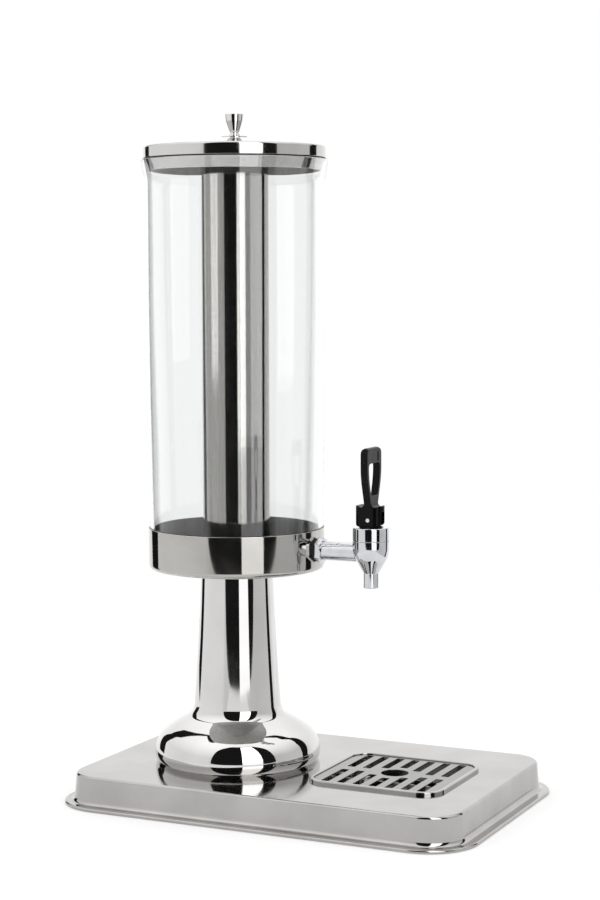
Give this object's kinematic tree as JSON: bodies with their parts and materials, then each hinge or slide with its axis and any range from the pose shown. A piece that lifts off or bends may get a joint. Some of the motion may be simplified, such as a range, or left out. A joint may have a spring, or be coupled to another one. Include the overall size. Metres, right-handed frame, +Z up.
{
  "type": "drink tower dispenser",
  "caption": "Free-standing drink tower: steel base with drip tray, pedestal, clear tank with an ice tube, lid and a lever tap.",
  "frame": {"origin": "centre of the base, on the surface that the feet stand on", "axes": "+X towards the tap and the drip tray, +Y across the base, +Z up"},
  "size_m": [0.3672, 0.2498, 0.5761],
  "materials": {
    "base_steel": "polished stainless sheet",
    "polished_steel": "polished stainless",
    "tray_steel": "polished stainless, pressed",
    "grille_steel": "satin stainless, punched",
    "brushed_collar": "stainless brushed round its axis",
    "satin_tube": "stainless brushed along its length",
    "lid_steel": "polished spun stainless",
    "knob_steel": "polished turned stainless",
    "plain_steel": "plain mill finish",
    "pin_steel": "ground pin",
    "tap_chrome": "bright chrome on brass",
    "clear_plastic": "clear moulded plastic",
    "clear_silicone": "translucent silicone",
    "black_rubber": "black rubber",
    "black_plastic": "black nylon",
    "lever_plastic": "glossy black moulded plastic"
  },
  "bodies": {
    "root": {"base_shell": "base_steel", "bottom_plate": "plain_steel", "rubber_feet": "black_rubber", "standoffs": "plain_steel", "bottom_plate_screws": "plain_steel", "pedestal": "polished_steel", "mounting_plate": "plain_steel", "tie_rod": "plain_steel", "tie_rod_washer": "plain_steel", "tie_rod_nut": "plain_steel", "cup_weld_nut": "plain_steel", "collar_cup": "brushed_collar", "tank": "clear_plastic", "tank_cushion": "clear_silicone", "ice_tube": "satin_tube", "ice_tube_cap": "satin_tube", "tube_seat": "clear_silicone", "tap_shank": "tap_chrome", "shank_outer_nut": "tap_chrome", "shank_back_nut": "plain_steel", "outer_washer": "black_rubber", "inner_washer": "black_rubber", "tap_body": "tap_chrome", "tap_bonnet": "tap_chrome", "wear_disc": "black_plastic", "valve_spring": "plain_steel"},
    "lid": {"lid": "lid_steel", "lid_seal": "black_rubber", "knob_rosette": "lid_steel", "lid_knob": "knob_steel", "knob_washer": "plain_steel", "knob_screw": "plain_steel"},
    "drip_tray": {"drip_tray": "tray_steel"},
    "drip_grille": {"drip_grille": "grille_steel"},
    "valve_stem": {"valve_stem": "plain_steel", "seat_cup": "clear_silicone", "lever_pin": "pin_steel"},
    "tap_lever": {"tap_lever": "lever_plastic"}
  },
  "joints": [
    {"name": "lid_lift", "type": "slide", "parent": "root", "child": "lid", "axis": [0, 0, 1], "range_m": [0, 0.15]},
    {"name": "drip_tray_lift", "type": "slide", "parent": "root", "child": "drip_tray", "axis": [0, 0, 1], "range_m": [0, 0.06]},
    {"name": "grille_lift", "type": "slide", "parent": "drip_tray", "child": "drip_grille", "axis": [0, 0, 1], "range_m": [0, 0.04]},
    {"name": "stem_lift", "type": "slide", "parent": "root", "child": "valve_stem", "axis": [0, 0, 1], "range_m": [0, 0.00253], "stiffness_N_per_m": 500, "springref_m": -0.004, "deforming": ["valve_spring"]},
    {"name": "lever_tilt", "type": "hinge", "parent": "valve_stem", "child": "tap_lever", "pos_m": [0.0572, 0, 0.2388], "axis": [0, 1, 0], "range_deg": [0, 28]}
  ],
  "couplings": [
    {"joint": "lever_tilt", "follows": "stem_lift", "rad_per_m": 192.8}
  ]
}
